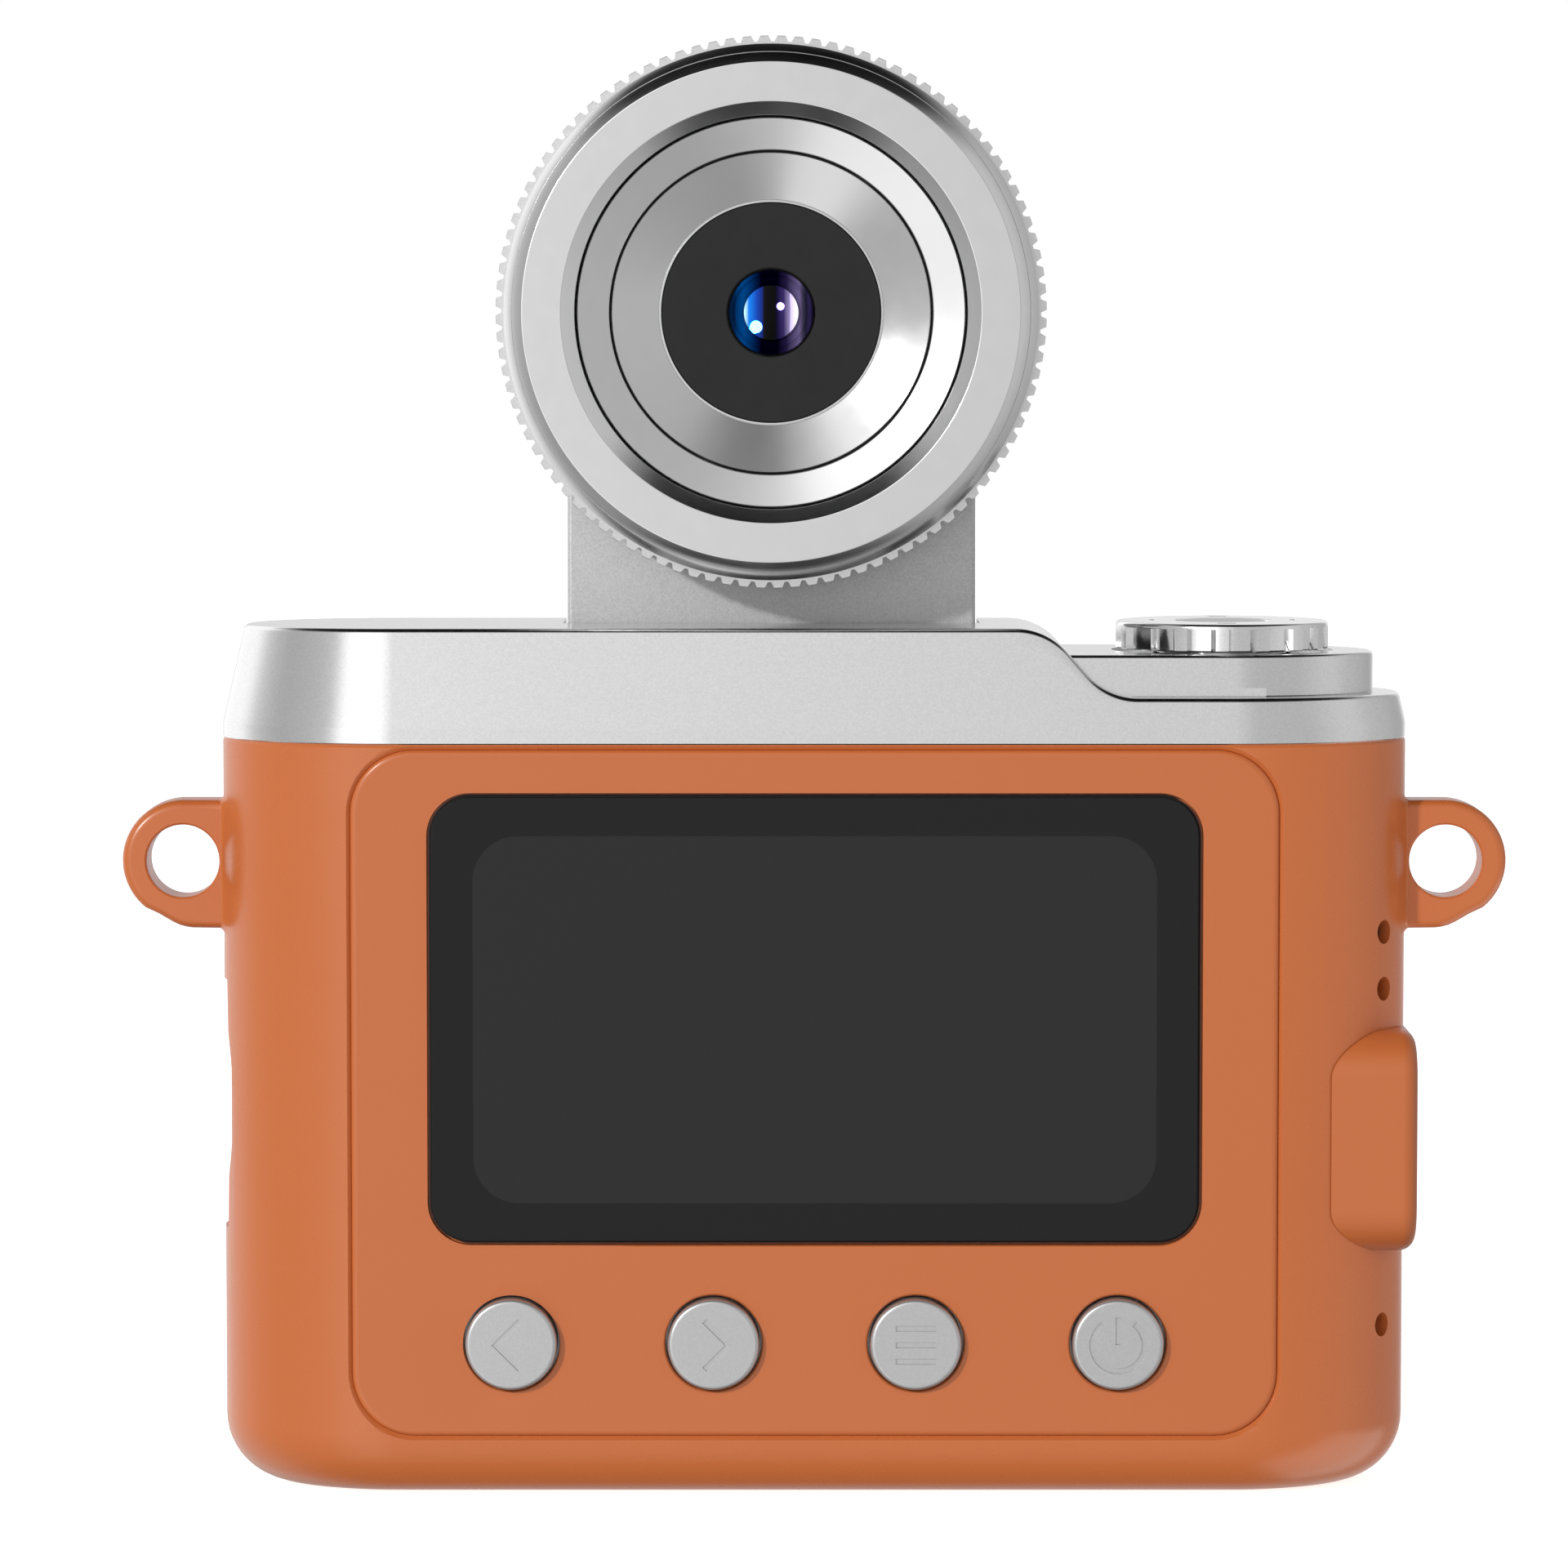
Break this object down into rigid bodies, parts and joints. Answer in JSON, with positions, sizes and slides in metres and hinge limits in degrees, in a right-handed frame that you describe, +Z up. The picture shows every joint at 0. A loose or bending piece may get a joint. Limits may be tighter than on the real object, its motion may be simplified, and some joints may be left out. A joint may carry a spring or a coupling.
{
  "type": "compact camera",
  "caption": "Pocket camera with a rounded body, a flip-up lens arm, a rear screen, push buttons, a mode dial and strap lugs.",
  "frame": {"origin": "middle of the flat base of the body", "axes": "+X to the user's right seen from the screen side, +Y the shooting direction with the lens folded down, +Z up"},
  "size_m": [0.1098, 0.0239, 0.1145],
  "materials": {
    "orange_plastic": "satin moulded orange plastic with a very fine texture",
    "orange_panel": "satin moulded orange plastic with a very fine texture",
    "orange_cover": "soft satin orange elastomer",
    "silver_top": "bright silver metallic paint on moulded plastic",
    "silver_deck": "bright silver metallic paint",
    "silver_dial": "bright plated plastic",
    "silver_button": "satin silver paint",
    "silver_arm": "satin silver paint with a fine sparkle",
    "silver_lens": "satin turned silver",
    "silver_ring": "fine turned silver cone",
    "silver_grip": "knurled satin silver",
    "lens_black": "dead matt black",
    "black_plastic": "satin black",
    "lens_glass": "coated lens glass with blue and violet reflections",
    "screen_glass": "flat dark cover glass",
    "display": "dark switched-off display",
    "soft_black": "black foam",
    "circuit_board": "green solder mask",
    "battery_wrap": "film wrap",
    "steel": "plain steel",
    "light_pipe": "milky light pipe",
    "brass": "machined brass",
    "sensor_black": "sensor package",
    "flex_film": "amber polyimide film",
    "card_black": "black moulded card"
  },
  "bodies": {
    "body": {"body_shell": "orange_plastic", "rear_cover": "orange_panel", "top_cover": "silver_top", "dial_deck": "silver_deck", "screen_glass": "screen_glass", "display_panel": "display", "display_gasket": "soft_black", "key_board": "circuit_board", "main_board": "circuit_board", "board_screws": "steel", "battery": "battery_wrap", "battery_pad": "soft_black", "speaker": "black_plastic", "microphone": "steel", "status_light": "light_pipe", "reset_switch": "steel", "port_board": "circuit_board", "usb_port": "steel", "card_socket": "steel", "tripod_insert": "brass", "dial_encoder": "black_plastic", "shutter_switch": "steel", "hinge_bushes": "brass", "friction_washers": "steel"},
    "lens_arm": {"arm_shell": "silver_arm", "arm_cover": "silver_arm", "arm_screws": "steel", "hinge_pins": "steel", "hinge_clips": "steel", "lens_barrel": "silver_lens", "front_bezel": "silver_lens", "outer_trim_ring": "silver_ring", "inner_trim_ring": "silver_ring", "trim_carrier": "black_plastic", "lens_mask": "lens_black", "sensor_board": "circuit_board", "image_sensor": "sensor_black", "lens_flex": "flex_film"},
    "grip_ring": {"focus_ring": "silver_grip"},
    "focus_cell": {"lens_cell": "black_plastic", "front_lens": "lens_glass", "rear_lens": "lens_glass"},
    "dial": {"mode_dial": "silver_dial"},
    "shutter": {"shutter_button": "silver_button"},
    "previous_key": {"previous_button": "silver_button"},
    "next_key": {"next_button": "silver_button"},
    "menu_key": {"menu_button": "silver_button"},
    "power_key": {"power_button": "silver_button"},
    "card": {"memory_card": "card_black"},
    "port_flap": {"port_cover": "orange_cover"}
  },
  "joints": [
    {"name": "lens_flip", "type": "hinge", "parent": "body", "child": "lens_arm", "pos_m": [-0.0034, 0.0055, 0.0627], "axis": [-1, 0, 0], "range_deg": [0, 180]},
    {"name": "focus_turn", "type": "hinge", "parent": "lens_arm", "child": "grip_ring", "pos_m": [-0.0034, -0.0043, 0.093], "axis": [0, -1, 0], "range_deg": [-60, 60]},
    {"name": "focus_travel", "type": "slide", "parent": "lens_arm", "child": "focus_cell", "axis": [0, -1, 0], "range_m": [-0.00021, 0.00021]},
    {"name": "dial_turn", "type": "hinge", "parent": "body", "child": "dial", "pos_m": [0.0324, 0, 0.067], "axis": [0, 0, 1], "continuous": true},
    {"name": "shutter_press", "type": "slide", "parent": "body", "child": "shutter", "axis": [0, 0, -1], "range_m": [0, 0.0006], "stiffness_N_per_m": 700, "springref_m": -0.0006},
    {"name": "previous_press", "type": "slide", "parent": "body", "child": "previous_key", "axis": [0, 1, 0], "range_m": [0, 0.0005], "stiffness_N_per_m": 900, "springref_m": -0.0006},
    {"name": "next_press", "type": "slide", "parent": "body", "child": "next_key", "axis": [0, 1, 0], "range_m": [0, 0.0005], "stiffness_N_per_m": 900, "springref_m": -0.0006},
    {"name": "menu_press", "type": "slide", "parent": "body", "child": "menu_key", "axis": [0, 1, 0], "range_m": [0, 0.0005], "stiffness_N_per_m": 900, "springref_m": -0.0006},
    {"name": "power_press", "type": "slide", "parent": "body", "child": "power_key", "axis": [0, 1, 0], "range_m": [0, 0.0005], "stiffness_N_per_m": 900, "springref_m": -0.0006},
    {"name": "card_eject", "type": "slide", "parent": "body", "child": "card", "axis": [-1, 0, 0], "range_m": [0, 0.013]},
    {"name": "port_cover_open", "type": "hinge", "parent": "body", "child": "port_flap", "pos_m": [0.0411, 0.0094, 0.02815], "axis": [0, 0, 1], "range_deg": [0, 100]}
  ],
  "couplings": [
    {"joint": "focus_travel", "follows": "focus_turn", "m_per_rad": 0.0002}
  ]
}
